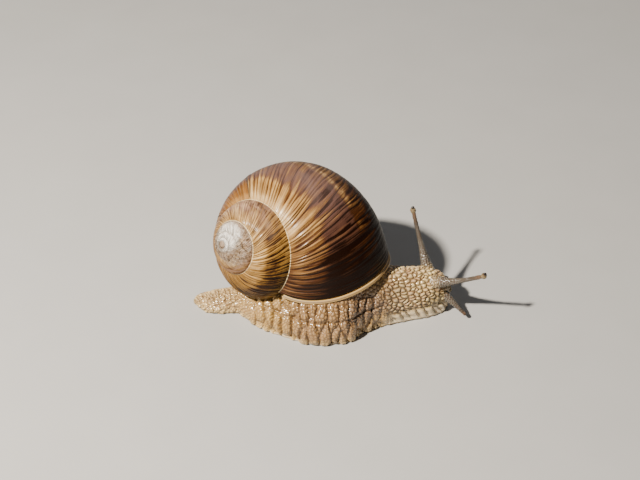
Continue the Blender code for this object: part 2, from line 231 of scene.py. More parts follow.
# joins the shapes, gives them their material and ends the tree
def endShapeTree(tree, shapes, material):
    joined = tree.node("GeometryNodeJoinGeometry", {}, {0: shapes})
    real = tree.node("GeometryNodeRealizeInstances", {}, {0: joined})
    coloured = tree.node("GeometryNodeSetMaterial", {}, {"Geometry": real, "Material": material})
    tree.node("NodeGroupOutput", {}, {0: coloured})


# runs a geometry tree on an object and leaves it as a plain mesh
def runShapeTree(obj, tree, values):
    modifier = obj.modifiers.new("shape", "NODES")
    modifier.node_group = tree.nodeTree
    for item in tree.nodeTree.interface.items_tree:
        if item.in_out == "INPUT" and item.name in values:
            modifier[item.identifier] = values[item.name]
    return settle(obj)


# the object's mesh with its modifiers worked out and gone
def settle(obj):
    graph = bpy.context.evaluated_depsgraph_get()
    mesh = bpy.data.meshes.new_from_object(obj.evaluated_get(graph))
    obj.modifiers.clear()
    obj.data = mesh
    return obj


def newObject(name, mesh=None):
    obj = bpy.data.objects.new(name, mesh or bpy.data.meshes.new(name))
    bpy.context.scene.collection.objects.link(obj)
    return obj


def pour(name, bm):
    mesh = bpy.data.meshes.new(name)
    bm.to_mesh(mesh)
    bm.free()
    return newObject(name, mesh)


def join(name, objects):
    bpy.ops.object.select_all(action="DESELECT")
    for obj in objects:
        obj.select_set(True)
    bpy.context.view_layer.objects.active = objects[0]
    bpy.ops.object.join()
    objects[0].name = name
    return objects[0]


def addAttribute(mesh, name, rows):
    attribute = mesh.attributes.new(name, "FLOAT_VECTOR", "POINT")
    attribute.data.foreach_set("vector", np.asarray(rows, np.float32).ravel())


# a closed tube from rings of points; rows is the attribute's value at each point
def tube(name, rings, rows=None, attribute="bodyMap"):
    count, sides = len(rings), len(rings[0])
    points = np.asarray(rings, float).reshape(-1, 3)
    faces = []
    for i in range(count - 1):
        for k in range(sides):
            n = (k + 1) % sides
            faces.append((i * sides + k, i * sides + n, (i + 1) * sides + n, (i + 1) * sides + k))
    ends = [points[:sides].mean(axis=0), points[-sides:].mean(axis=0)]
    for k in range(sides):
        n = (k + 1) % sides
        faces.append((n, k, count * sides))
        faces.append(((count - 1) * sides + k, (count - 1) * sides + n, count * sides + 1))
    mesh = bpy.data.meshes.new(name)
    mesh.from_pydata(np.vstack([points, ends]).tolist(), [], faces)
    if rows is not None:
        flat = np.asarray(rows, float).reshape(-1, 3)
        flat = np.vstack([flat, flat[:sides].mean(axis=0), flat[-sides:].mean(axis=0)])
        addAttribute(mesh, attribute, flat)
    faceOut(mesh)
    return newObject(name, mesh)


def faceOut(mesh):
    bm = bmesh.new()
    bm.from_mesh(mesh)
    bmesh.ops.recalc_face_normals(bm, faces=bm.faces)
    bm.to_mesh(mesh)
    bm.free()


shell = {
    "apex": (-23.4, -5.5, 24.2),
    "tilt": 22.5,  # degrees that the apex end of the axis points up
    "yaw": 40.9,  # and from straight back towards the snail's right
    "mouthTurn": -42.3,
    "sutureRadius": 13.5,
    "sutureDrop": 12.9,
    "radiusGrowth": 0.1004,  # per radian
    "dropGrowth": 0.1554,
    "whorlReach": 0.774,  # the whorl's oval, as shares of the step between sutures
    "whorlSink": 0.457,
    "lagStart": -2.165,  # how growth lines fall behind across a whorl, in radians
    "lagBend": 1.147,
    "baseStart": -0.6,
    "baseEnd": -1.75,
    "axisEnd": 28.0,
    "lipWidth": 1.1,
    "lipThick": 1.5,
    "lipSink": 0.30,
    "gap": 0.3,
    "whorlMean": 1.6,
    "turns": 5,
    "stepsPerTurn": 510,
    "lagSteps": 60,
    "spireRows": 24,
    "baseRows": 44,
    "ribs": 78,  # in a turn
    "ribHeight": 0.014,  # as a share of the whorl's size
    "waveHeight": 0.006,
    "breakHeight": 0.012,
}
mouthNormal = np.array([-0.13, 0.01, 0.99])
halfSpan = math.acos(0.5 / shell["whorlReach"])
upperSuture, lowerSuture = math.pi - halfSpan, halfSpan
whorlHalf = shell["whorlSink"] / math.sin(halfSpan)
mouthBack = (shell["lipWidth"] + shell["gap"]) / (shell["sutureRadius"] * shell["whorlMean"])


# the world's axes of the shell: level across it, up across it, and along it to the apex
def shellAxes():
    tilt, yaw = math.radians(shell["tilt"]), math.radians(shell["yaw"])
    along = np.array([-math.cos(tilt) * math.cos(yaw), -math.cos(tilt) * math.sin(yaw), math.sin(tilt)])
    level = np.cross((0.0, 0.0, 1.0), along)
    level /= np.linalg.norm(level)
    return level, np.cross(along, level), along


def suture(theta, form):
    radius = form["sutureRadius"] * exponent(theta * form["radiusGrowth"])
    drop = form["sutureDrop"] * exponent(theta * form["dropGrowth"])
    return radius, 0 - drop


# radius and height of the whorl at turn angle theta and angle beta round its oval, swollen by a small share
def whorlPoint(theta, beta, swell, form):
    bound = larger(beta, form["baseStart"])
    r0, z0 = suture(theta, form)
    r1, z1 = suture(theta + twoPi, form)
    dr, dz = r1 - r0, z1 - z0
    down = 0.5 + form["whorlReach"] * cosine(bound) * (1 + swell)
    out = form["whorlHalf"] * sine(bound) * (1 + swell) - form["whorlSink"]
    radius = r0 + down * dr - out * dz
    height = z0 + down * dz + out * dr
    share = larger((form["baseStart"] - beta) / (form["baseStart"] - form["baseEnd"]), 0.0)
    radius = radius * larger(1 - share, 0.0) ** 1.6
    return radius, height + (0 - form["axisEnd"] - height) * share * share * (3 - 2 * share)


# how far a growth line has fallen behind the upper suture at beta, in radians
def growthLag(beta, form):
    share = (form["upperSuture"] - larger(beta, form["baseStart"])) / math.pi
    return (form["lagStart"] * share + form["lagBend"] * share * share) * form["lagScale"]


def shellForm():
    share = (upperSuture - lowerSuture) / math.pi
    raw = shell["lagStart"] * share + shell["lagBend"] * share * share
    whole = -shell["lagSteps"] * twoPi / shell["stepsPerTurn"]
    edges = {"upperSuture": upperSuture, "lowerSuture": lowerSuture, "whorlHalf": whorlHalf}
    return {**shell, **edges, "lagScale": whole / raw}


# a world point on the shell's surface; psi is the growth line's angle at the suture, 0 at the mouth
def shellPoint(psi, beta):
    form = shellForm()
    theta = psi + growthLag(beta, form)
    radius, height = whorlPoint(theta, beta, 0.0, form)
    level, up, along = shellAxes()
    turn = math.radians(shell["mouthTurn"]) - theta
    return np.array(shell["apex"]) + radius * (np.cos(turn) * level + np.sin(turn) * up) + height * along


# what the coil's tree takes as inputs: sizes, and whole counts
coilSizes = [
    "sutureRadius", "sutureDrop", "radiusGrowth", "dropGrowth", "whorlReach", "whorlSink", "whorlHalf",
    "lagStart", "lagBend", "lagScale", "baseStart", "baseEnd", "axisEnd", "upperSuture", "lowerSuture",
    "ribHeight", "waveHeight", "breakHeight",
]
coilCounts = ["turns", "stepsPerTurn", "lagSteps", "spireRows", "baseRows"]
growthBreak = -0.415  # where growth once stopped, in turns before the mouth


# an input's label: sutureRadius reads Suture Radius
def label(key):
    return "".join(" " + letter if letter.isupper() else letter for letter in key).title()


def coilValues():
    form = shellForm()
    values = {label(key): float(form[key]) for key in coilSizes}
    values.update({"Mouth Turn": math.radians(shell["mouthTurn"]), "Mouth Back": mouthBack})
    return {**values, **{label(key): shell[key] for key in coilCounts}}


# growth ribs from 0 to 1, nearly evenly spaced, leaning forward a little across the whorl
def shellRibs(tree, turn, across):
    leaned = turn - 0.022 * smaller(across, 1.0) * tree.fall(turn, -0.12, 0.0)
    sway = tree.cloud(leaned * 24, across * 0.5, 1.0, detail=3.0)
    strong = tree.cloud(leaned * 60, across * 0.8, 6.0, detail=2.0)
    wave = sine((leaned * shell["ribs"] + sway * 5.0) * twoPi) * 0.5 + 0.5
    return wave * (0.35 + 1.3 * tree.soft(strong, 0.3, 0.7)) * 0.7, leaned


# ribs, slower waves and the old growth break, as a share of the whorl's size; nothing at the sutures
def shellSwell(tree, turn, across, form, openFrom):
    ribs, leaned = shellRibs(tree, turn, across)
    waves = tree.cloud(leaned * 24, across * 0.6, 4.0, detail=1.0) - 0.5
    nearSuture = 1 - 0.75 * tree.soft(across, 0.1, 0.6)
    ridge = tree.hump(turn, growthBreak, 0.012)
    fade = tree.soft(across, 0.0, 0.05)
    welded = tree.fall(turn, openFrom, openFrom + 0.03)
    fade = fade * (1 - tree.soft(across, 0.9, 1.0) * welded)
    fade = fade * tree.fall(across, 1.5, 1.9)
    relief = (ribs - 0.5) * form["ribHeight"] * nearSuture + waves * form["waveHeight"] * 2
    return (relief + ridge * form["breakHeight"]) * fade


# the coil: a ribbon from suture to suture wound from apex to mouth, the base of the last turn,
# the wall behind the mouth and the cap at the apex
def shellTree(material):
    tree, inputs = newShapeTree("shellCoil", coilValues())
    form = {key: inputs[label(key)] for key in coilSizes}
    steps = inputs["Steps Per Turn"]
    last = inputs["Turns"] * steps
    shared = steps - inputs["Lag Steps"]
    back = inputs["Mouth Back"]
    openFrom = (0 - shared / steps) - back / twoPi
    x, y, _ = tree.separate(tree.node("GeometryNodeInputPosition"))
    columns, rows = x + 0.5, y + 0.5

    def grid(across, along):
        values = {"Size X": 1.0, "Size Y": 1.0, "Vertices X": along + 1, "Vertices Y": across + 1}
        return tree.node("GeometryNodeMeshGrid", {}, values)

    # the surface's place at a growth line, counted in turns, and an angle round the oval
    def surface(turn, beta):
        across = (form["upperSuture"] - beta) / (form["upperSuture"] - form["lowerSuture"])
        swell = shellSwell(tree, turn, across, form, openFrom)
        theta = turn * twoPi + growthLag(beta, form)
        radius, height = whorlPoint(theta, beta, swell, form)
        azimuth = inputs["Mouth Turn"] - theta
        return tree.combine(radius * cosine(azimuth), radius * sine(azimuth), height), across

    def placed(mesh, position, coil):
        settings = {"data_type": "FLOAT_VECTOR", "domain": "CORNER"}
        stored = tree.node("GeometryNodeStoreNamedAttribute", settings,
                           {"Geometry": mesh, "Name": "coil", "Value": coil})
        return tree.node("GeometryNodeSetPosition", {}, {"Geometry": stored, "Position": position})

    def between(share, first, second):
        values = {0: share, 4: first, 5: second}
        return tree.node("ShaderNodeMix", {"data_type": "VECTOR"}, values, 1)

    lastTurn = 0 - back / twoPi
    firstTurn = lastTurn - last / steps
    spread = rows ** 1.15  # rows lie closer together by the upper suture
    spireAngle = form["upperSuture"] - spread * (form["upperSuture"] - form["lowerSuture"])
    baseAngle = form["lowerSuture"] - rows * (form["lowerSuture"] - form["baseEnd"])
    turn = firstTurn + columns * (last / steps)
    position, across = surface(turn, spireAngle)
    spire = placed(grid(inputs["Spire Rows"], last), position, tree.combine(turn, across, 0.0))

    turn = lastTurn - (1 - columns) * (shared / steps)
    position, across = surface(turn, baseAngle)
    base = placed(grid(inputs["Base Rows"], shared), position, tree.combine(turn, across, 0.0))

    # from the last growth line back to the wall of the turn before it
    def mouthWall(beta, rowCount):
        rim, across = surface(lastTurn, beta)
        wall, _ = surface(lastTurn - shared / steps, smaller(beta, form["lowerSuture"]))
        return placed(grid(rowCount, 1), between(columns, rim, wall), tree.combine(lastTurn, across, 1.0))

    mouthTop = mouthWall(spireAngle, inputs["Spire Rows"])
    mouthBase = mouthWall(baseAngle, inputs["Base Rows"])

    rim, _ = surface(firstTurn + columns * (shared / steps), form["upperSuture"])
    tip = tree.combine(0.0, 0.0, 0.0)
    capCoil = tree.combine(firstTurn, 0.0, 0.0)
    cap = placed(grid(1, shared), between(rows, rim, tip), capCoil)
    rim, _ = surface(firstTurn, spireAngle)
    capEnd = placed(grid(inputs["Spire Rows"], 1), between(columns, rim, tip), capCoil)

    joined = tree.node("GeometryNodeJoinGeometry", {}, {0: [spire, base, mouthTop, mouthBase, cap, capEnd]})
    welded = tree.node("GeometryNodeMergeByDistance", {}, {"Geometry": joined, "Distance": 0.0005})
    smooth = tree.node("GeometryNodeSetShadeSmooth", {}, {"Geometry": welded})
    endShapeTree(tree, [smooth], material)
    return tree


shellLook = {
    "streaks": 64,  # in a turn
    "hairs": 300,
    "scores": 150,
    # from light to dark: how dark a spot is, and its colour
    "tones": [
        (0.00, (0.70, 0.48, 0.23)), (0.25, (0.44, 0.255, 0.090)), (0.50, (0.200, 0.095, 0.027)),
        (0.75, (0.058, 0.018, 0.0040)), (1.00, (0.009, 0.0026, 0.0008)),
    ],
    "purple": (0.105, 0.050, 0.038),
    "gold": (0.36, 0.185, 0.022),
    "dust": (0.185, 0.115, 0.098),
    "olive": (0.115, 0.080, 0.030),
    "orange": (0.25, 0.088, 0.014),
    "cream": (0.70, 0.50, 0.25),
    "pink": (0.46, 0.27, 0.17),
    "chalkAndGlare": (1.0, 0.95, 0.87),
    "pale": (0.52, 0.43, 0.35),
    "pit": (0.050, 0.030, 0.018),
    "horn": (0.25, 0.180, 0.125),
    "rub": (0.24, 0.150, 0.110),
    "seam": (0.86, 0.70, 0.42),
    "bark": (0.058, 0.018, 0.0040),
    "soot": (0.009, 0.0026, 0.0008),
    "whitest": (-0.0222, -0.0046, 0.0260),  # where the apex is worn to chalk, in metres
}


def shellMaterial():
    look = shellLook
    uniform = {"Coat Roughness": 0.20, "IOR": 1.4, "Coat IOR": 1.4, "Specular IOR Level": 0.10}
    material, tree, shader = newMaterial("bandedShell", uniform)
    soft, fall, hump = tree.soft, tree.fall, tree.hump
    coil = tree.stored("coil")
    turn, across, inside = tree.separate(coil)
    spot = tree.spot()
    patches = tree.cloud(turn * 9, across * 2.6, 2.0, detail=4.0)
    blots = tree.cloud(turn * 26, across * 4.5, 7.0, detail=3.0)
    ribs, leaned = shellRibs(tree, turn, across)
    streaks = tree.cloud(leaned * look["streaks"], across * 0.7, 5.0, detail=5.0, roughness=0.72)
    hairs = tree.cloud(leaned * look["hairs"], across * 1.2, 9.0, detail=3.0, roughness=0.7)
    wavy = across + (patches - 0.5) * 0.16 + (streaks - 0.5) * 0.22 + (blots - 0.5) * 0.08
    young = soft(turn, -1.12, -0.88)  # the last turn, as against the worn ones before it
    aged = soft(turn, -0.27, 0.01)

    band = soft(wavy, 0.32, 0.48) * fall(wavy, 0.79, 0.85)
    below = soft(wavy, 0.80, 0.84)
    tone = 0.30 + 0.10 * soft(across, 0.05, 0.35) + band * 0.28 + below * 0.20
    tone = tone + soft(across, 1.04, 1.12) * 0.14 - soft(across, 1.42, 1.55) * 0.08
    far = soft(turn, -1.05, -0.85) * fall(turn, -0.56, -0.50)
    tone = tone + aged * 0.44 + young * 0.06 + far * 0.14 + aged * soft(across, 0.1, 0.5) * 0.08
    settled = hump(turn, growthBreak + 0.03, 0.045)
    smoothPart = soft(turn, -0.58, -0.53) * fall(turn, -0.425, -0.415)
    smoothPart = smoothPart * (1 - 0.85 * soft(wavy, 0.22, 0.50))
    tone = tone - settled * 0.10 + smoothPart * 0.10
    behind = hump(turn, -1.62, 0.22) * (0.10 + 0.28 * soft(wavy, 0.32, 0.55))
    behind = behind + hump(turn, -1.28, 0.18) * soft(wavy, 0.35, 0.75) * 0.16
    tone = tone + behind + hump(turn, -0.47, 0.10) * soft(wavy, 0.2, 0.4) * 0.20
    tone = tone + hump(turn, -0.45, 0.25) * soft(wavy, 0.45, 0.7) * 0.08
    darkPatch = soft(turn + (blots - 0.5) * 0.16, -1.08, -0.95) * fall(turn, -0.93, -0.80)
    tone = tone + darkPatch * (0.06 + 0.16 * soft(wavy, 0.25, 0.55))
    worn = fall(turn, -1.32, -1.08)
    tone = tone - worn * 0.04 - worn * band * 0.12
    amount = (1 - 0.6 * smoothPart) * (1 - 0.35 * worn)
    amount = amount * (1 - 0.22 * fall(across, 0.25, 0.5) * young)
    valley = fall(ribs, 0.04, 0.30)
    # painted highlight: a paler strip along the upper suture on the last turn
    paintedRimHighlight = fall(across, 0.05, 0.15) * soft(turn, -0.56, -0.49) * fall(turn, -0.24, -0.16)
    tone = tone - paintedRimHighlight * 0.16 + hump(turn, -0.34, 0.14) * hump(wavy, 0.21, 0.14) * 0.12
    lines = (streaks - 0.5) * 0.90 + (valley - 0.35) * 0.42 * soft(across, 0.0, 0.1) + (hairs - 0.5) * 1.1
    tone = tone + lines * amount + (patches - 0.5) * 0.50 + (blots - 0.5) * 0.30 * (0.4 + band)
    flecks = hump(across + (streaks - 0.5) * 0.10, 0.87, 0.10) * hump(turn, -0.22, 0.18)
    tone = tone - flecks * soft(blots, 0.42, 0.60) * 0.46

    paint = Paint(tree, look, tree.node("ShaderNodeValToRGB", {"stops": look["tones"]}, {0: tone}))
    plum = band * soft(turn, -0.85, -0.70) * fall(turn, -0.20, -0.05)
    paint.lay(plum * soft(tone, 0.40, 0.75) * fall(tone, 0.85, 1.05) * 0.75, "purple")
    green = below * young * fall(turn, -0.30, -0.12) * soft(tone, 0.2, 0.6)
    paint.lay(green * fall(tone, 0.75, 0.95) * 0.55, "olive")
    golden = soft(turn, -1.24, -1.06) * fall(turn, -0.85, -0.65) * soft(tone, 0.1, 0.4)
    paint.lay(golden * 0.40 * fall(tone, 0.6, 0.9), "gold")
    dusty = soft(turn, -0.80, -0.60) * fall(turn, -0.26, -0.12) * soft(wavy, 0.28, 0.55)
    paint.lay(dusty * (0.24 + 0.34 * soft(blots, 0.35, 0.65)), "dust")
    rubbed = hump(turn, -1.46, 0.40) * soft(wavy, 0.05, 0.50)
    paint.lay(rubbed * (0.45 + 0.45 * soft(hairs * 0.5 + blots * 0.5, 0.40, 0.60)), "rub")
    paint.lay(smoothPart * 0.40, "orange")
    pinkish = worn * soft(across, 0.35, 0.6) * soft(blots, 0.4, 0.6)
    paint.lay(pinkish * 0.55, "pink")
    seam = fall(across * (1 + 1.4 * young) + young * 0.004, 0.010, 0.032)
    seam = seam * soft(turn, -2.3, -1.7)
    paint.lay(seam * 0.80, "seam")
    scored = tree.cloud(leaned * look["scores"], across * 1.1, 12.0, detail=3.0, roughness=0.6)
    paint.lay(soft(scored, 0.54, 0.64) * rubbed * 0.8, "cream")
    paint.lay(fall(scored, 0.35, 0.44) * rubbed * 0.75, "bark")
    bare = fall(turn + across * 0.15, -1.95, -1.80)
    paint.lay(bare * (0.35 + 0.6 * soft(hairs * 0.5 + streaks * 0.5, 0.40, 0.56)), "horn")
    ends = {0: spot, 1: look["whitest"]}
    fromWhite = tree.node("ShaderNodeVectorMath", {"operation": "DISTANCE"}, ends, "Value")
    away = fromWhite / mm + (streaks - 0.5) * 3.0 + (blots - 0.5) * 3.0
    chalky = fall(away, 2.0, 4.6) * fall(turn, -2.15, -1.95) * soft(turn, -4.7, -4.3)
    chalky = chalky * larger(soft(hairs * 0.5 + streaks * 0.5, 0.36, 0.54), fall(turn, -3.9, -3.2))
    pits = tree.noise(spot, scale=1500.0, detail=4.0, roughness=0.7)
    speckle = soft(pits * 0.7 + hairs * 0.3, 0.50, 0.58)
    paint.lay(bare * speckle * 0.5, "pale")
    paint.lay(bare * fall(pits, 0.38, 0.46) * 0.85, "pit")
    # the worn chalky apex, its colour pushed to near full white as a painted highlight of glare
    paint.lay(chalky * 0.95, "chalkAndGlare")
    ring = soft(across, 0.86, 0.97) + 1 - soft(across, 0.03, 0.14)
    paint.lay(ring * bare * fall(turn, -2.25, -2.05) * 0.45, "horn")
    broken = hump(turn, growthBreak - 0.004, 0.006) * soft(across, 0.01, 0.05)
    paint.lay(broken * 0.8, "soot")
    paint.lay(inside, "cream")

    ribbed = 1 - 0.65 * soft(across, 0.12, 0.55)
    grain = tree.noise(spot, scale=2600.0, detail=3.0)
    relief = (ribs * 0.5 + hairs * 0.4) * ribbed + streaks * 0.4 + grain * 0.12
    bump = tree.bump(relief, 0.0005)
    gloss = 0.34 + 0.16 * soft(patches, 0.3, 0.8) + 0.20 * chalky + 0.1 * worn
    coat = (0.10 + 0.16 * fall(across, 0.3, 0.6)) * (1 - chalky)
    feed(tree, shader, {"Base Color": paint.colour, "Roughness": gloss, "Coat Weight": coat, "Normal": bump})
    return material


def buildShell():
    material = shellMaterial()
    tree = shellTree(material)
    obj = runShapeTree(newObject("shellCoil"), tree, coilValues())
    level, up, along = shellAxes()
    axes = Matrix([[*row, 0.0] for row in np.stack([level, up, along], axis=1)] + [[0.0, 0.0, 0.0, 1.0]])
    obj.data.transform(Matrix.Translation(Vector(shell["apex"])) @ axes)
    faceOut(obj.data)
    return obj


lipLook = {"cream": (0.51, 0.34, 0.130), "brown": (0.13, 0.065, 0.028), "sides": 20, "count": 150}


# points along the mouth's edge with their outward and growth directions
def lipLine(count):
    rows = []
    for beta in np.linspace(upperSuture - 0.08, shell["baseEnd"] + 0.40, count):
        here = shellPoint(0.0, beta)
        ahead = shellPoint(0.01, beta) - here
        side = shellPoint(0.0, beta - 0.01) - here
        out = np.cross(ahead, side)
        rows.append((here, out / np.linalg.norm(out), ahead / np.linalg.norm(ahead)))
    return rows


def lipMaterial():
    material, tree, shader = newMaterial("shellLip", {"Coat Weight": 0.2, "Coat Roughness": 0.2})
    place = tree.stored("lipMap")
    along, around, _ = tree.separate(place)
    grain = tree.cloud(along * 2.5, around * 3, 0.0, detail=4.0)
    stain = tree.soft(grain, 0.42, 0.72)
    upper = tree.soft(around + (grain - 0.5) * 0.1, 0.80, 0.92)
    paint = Paint(tree, lipLook, lipLook["cream"])
    paint.lay(stain * 0.40, "brown")
    paint.lay(upper * 0.8, "brown")
    # the lip's far end, towards the base, darkened: painted shade
    paint.lay(tree.soft(along, 0.62, 0.80) * 0.75, "brown")
    bump = tree.bump(grain, 0.00008, 0.5)
    feed(tree, shader, {"Base Color": paint.colour, "Roughness": 0.35 + grain * 0.2, "Normal": bump})
    return material


def buildLip():
    line = lipLine(lipLook["count"])
    rings, rows = [], []
    for i, (here, out, ahead) in enumerate(line):
        share = i / (len(line) - 1)
        thin = 1 - 0.55 * np.clip((share - 0.45) / 0.3, 0, 1) - 0.5 * np.clip(1 - share / 0.14, 0, 1)
        centre = here - out * shell["lipSink"] - ahead * (shell["lipWidth"] / 2)
        turns = np.arange(lipLook["sides"]) * twoPi / lipLook["sides"]
        across = shell["lipThick"] / 2 * thin * np.cos(turns)[:, None] * out
        along = shell["lipWidth"] / 2 * np.sin(turns)[:, None] * ahead
        rings.append(centre + out * (1 - thin) * 0.35 + across + along)
        rows.append([(share, k / lipLook["sides"], 0.0) for k in range(lipLook["sides"])])
    obj = tube("shellLip", rings, rows, "lipMap")
    obj.data.materials.append(lipMaterial())
    obj.data.shade_smooth()
    return obj


def finishPiece(obj, slot, *nodes):
    obj.data.transform(Matrix.Scale(mm, 4))
    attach(obj, "root")
    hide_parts(*nodes)
    return obj


shellPiece = finishPiece(buildShell(), "shell", "shell")
print("shell coiled:", len(shellPiece.data.polygons), "faces")
lipPiece = finishPiece(buildLip(), "lip", "shell_lip")
print("lip laid along the mouth")

# Body, from tail to head: x, y of the middle, half width of the sole, half width of the back, height,
# how far the back leans to the left, and how square the section is
bodyTable = np.array([
    (-31.6, 3.9, 0.5, 0.4, 0.7, 0.0, 1.00),
    (-30.6, 3.6, 2.0, 1.6, 1.7, 0.0, 1.00),
    (-26.0, 2.5, 4.5, 3.7, 3.4, 0.0, 0.95),
    (-19.5, 1.9, 3.9, 4.0, 5.6, 0.0, 0.95),
    (-16.5, 0.7, 5.0, 5.0, 7.0, 0.5, 0.90),
    (-14.0, -0.2, 7.0, 6.2, 9.0, 1.2, 0.85),
    (-10.0, -1.2, 8.8, 7.6, 12.0, 2.5, 0.75),
    (-5.0, -2.2, 10.4, 8.7, 15.0, 4.0, 0.60),
    (0.0, -2.8, 11.8, 9.2, 16.0, 4.0, 0.60),
    (4.0, -2.6, 11.4, 9.1, 16.0, 3.6, 0.62),
    (8.0, -1.7, 8.9, 8.4, 15.2, 3.0, 0.68),
    (14.0, -0.5, 6.9, 7.0, 13.2, 1.2, 0.85),
    (20.0, 0.6, 5.7, 6.1, 12.0, 0.4, 0.92),
    (25.0, 1.7, 5.3, 5.7, 11.4, 0.2, 0.95),
    (28.5, 2.8, 4.6, 5.2, 10.2, 0.0, 0.95),
    (30.1, 3.5, 3.3, 4.4, 9.0, 0.0, 0.95),
    (31.2, 3.95, 2.0, 3.1, 7.2, 0.0, 0.98),
    (31.8, 4.2, 0.8, 1.4, 4.6, 0.0, 1.00),
])
body = {
    "rim": 0.9,
    "flare": 8,
    "rings": 240,
    "arcs": 60,
    "voxel": 0.23,
    "smoothing": 4,
}
feelers = {
    "upper": {
        "right": ((28.4, -0.1, 8.8), (39.4, -5.5, 14.8)),
        "left": ((26.6, 4.6, 9.0), (22.8, 12.0, 22.2)),
        "bow": (0.0, 0.0, -0.5),
        "radii": (1.75, 1.32, 0.95, 0.72, 0.62, 0.60, 0.64),
        "end": 0.96,
    },
    "lower": {
        "right": ((30.2, 0.3, 5.0), (36.0, -4.0, 1.2)),
        "left": ((28.2, 6.4, 5.0), (32.4, 11.6, 1.25)),
        "bow": (0.0, 0.0, 0.25),
        "radii": (1.45, 1.02, 0.74, 0.57, 0.46),
        "end": 0.97,
    },
    "bulb": 0.84,
    "rootDepth": 0.18,  # how far behind its root a feeler starts, as a share of its length
    "rings": 70,
    "sides": 24,
}
lobes = {
    "size": (1.15, 1.3, 1.45),
    "places": {"right": (31.8, 2.55, 4.75), "left": (30.6, 5.3, 4.75)},
    "turn": 23.6,  # degrees that the head looks to the left
}


collar = {
    "inset": 0.35,
    "points": 120,
    "hiddenPoints": 60,  # along the line that closes the mouth's outline
    # how far below the mouth each ring lies, and its share of the mouth's outline
    "rings": ((-3.0, 1.0), (0.0, 1.0), (0.6, 1.0), (1.2, 0.985), (1.8, 0.95), (2.7, 0.84), (3.2, 0.68)),
}
# where each piece but the trunk starts in bodyMap, along and up, clear of the others
mapPlace = {
    "upper": (100.0, 50.0), "lower": (150.0, 50.0), "bulb": (115.0, 51.0),
    "collar": (200.0, 60.0), "lobe": (36.0, 3.8),
}


# the table's row at x, by a monotone cubic through its rows
def smoothRow(table, x):
    xs = table[:, 0]
    widths = np.diff(xs)
    slopes = np.diff(table, axis=0) / widths[:, None]
    bends = np.zeros_like(table)
    rising = slopes[:-1] * slopes[1:] > 0
    with np.errstate(divide="ignore", invalid="ignore"):
        mean = 2 * slopes[:-1] * slopes[1:] / (slopes[:-1] + slopes[1:])
    bends[1:-1] = np.where(rising, mean, 0.0)
    bends[0], bends[-1] = slopes[0], slopes[-1]
    i = int(np.clip(np.searchsorted(xs, x) - 1, 0, len(widths) - 1))
    t = (x - xs[i]) / widths[i]
    start = (2 * t**3 - 3 * t**2 + 1) * table[i] + (t**3 - 2 * t**2 + t) * widths[i] * bends[i]
    return start + (3 * t**2 - 2 * t**3) * table[i + 1] + (t**3 - t**2) * widths[i] * bends[i + 1]


# points round the body at x, from the middle of the back down its left side, under the sole and up the right
def bodyRing(x):
    _, y, sole, back, height, lean, square = smoothRow(bodyTable, x)
    ahead = smoothRow(bodyTable, min(x + 0.5, bodyTable[-1, 0]))
    behind = smoothRow(bodyTable, max(x - 0.5, bodyTable[0, 0]))
    turn = math.atan2(ahead[1] - behind[1], ahead[0] - behind[0])
    rim = min(body["rim"], height * 0.5)
    phi = np.linspace(math.pi / 2, 0.0, body["arcs"])
    across = back * np.cos(phi) ** square + (sole - back) * np.cos(phi) ** body["flare"]
    level = rim + (height - rim) * np.sin(phi) ** square
    edge = np.linspace(0.0, math.pi / 2, 7)[1:]
    inset = min(rim * 0.6, sole * 0.5)
    across = np.append(across, sole - inset * (1 - np.cos(edge)))
    level = np.append(level, rim * (1 - np.sin(edge)))
    floor = np.linspace(1.0, 0.0, 14)[1:]
    across = np.append(across, (sole - inset) * floor)
    level = np.append(level, np.zeros(len(floor)))
    across = np.concatenate([across, -across[-2:0:-1]])
    level = np.concatenate([level, level[-2:0:-1]])
    leaned = across + lean * (level / height) ** 2
    return np.stack([x - leaned * math.sin(turn), y + leaned * math.cos(turn), level], axis=1)


# the body as a closed tube, with bodyMap: distance along it from the ring over the origin, distance round it
# from the middle of the back, positive to the left, and height up its side from the sole's edge
def buildTrunk():
    low, high = bodyTable[0, 0], bodyTable[-1, 0]
    share = np.linspace(0, 1, body["rings"] + 1)
    eased = 0.65 * share + 0.35 * (0.5 - 0.5 * np.cos(math.pi * share))
    rings = np.array([bodyRing(x) for x in low + (high - low) * eased])
    edge = body["arcs"] + 5
    steps = np.linalg.norm(np.diff(rings, axis=1), axis=2)
    half = rings.shape[1] // 2
    left = np.concatenate([np.zeros((len(rings), 1)), np.cumsum(steps[:, :half], axis=1)], axis=1)
    girth = np.concatenate([left, -left[:, half - 1:0:-1]], axis=1)
    rise = left[:, edge:edge + 1] - np.abs(girth)
    lengths = np.linalg.norm(np.diff(rings, axis=0), axis=2)
    along = np.vstack([np.zeros((1, rings.shape[1])), np.cumsum(lengths, axis=0)])
    along = along - along[np.searchsorted(rings[:, 0, 0], 0.0)]
    return tube("trunk", rings, np.stack([along, girth, rise], axis=2))


# the thick mantle edge that fills the mouth just inside the lip
def buildCollar():
    inset = shell["lipThick"] / 2 + shell["gap"] + collar["inset"]
    edge = [here - out * inset for here, out, _ in lipLine(collar["points"])]
    inner = edge[0] + (edge[-1] - edge[0]) * np.linspace(0.99, 0.01, collar["hiddenPoints"])[:, None]
    outline = np.array(edge + list(inner))
    middle = outline.mean(axis=0)
    length = np.concatenate([[0.0], np.cumsum(np.linalg.norm(np.diff(outline, axis=0), axis=1))])
    rings, rows = [], []
    down = 0.0
    start, level = mapPlace["collar"]
    for drop, shrink in collar["rings"]:
        rings.append(middle + (outline - middle) * shrink - mouthNormal * drop)
        if len(rings) > 1:
            down += np.linalg.norm(rings[-1] - rings[-2], axis=1).mean()
        rows.append([(start + part, down, level) for part in length])
    return tube("collar", rings, rows)


def feelerPoint(ends, bow, share):
    root, tip = np.array(ends[0]), np.array(ends[1])
    return root + (tip - root) * share + np.array(bow) * 4 * share * (1 - share)


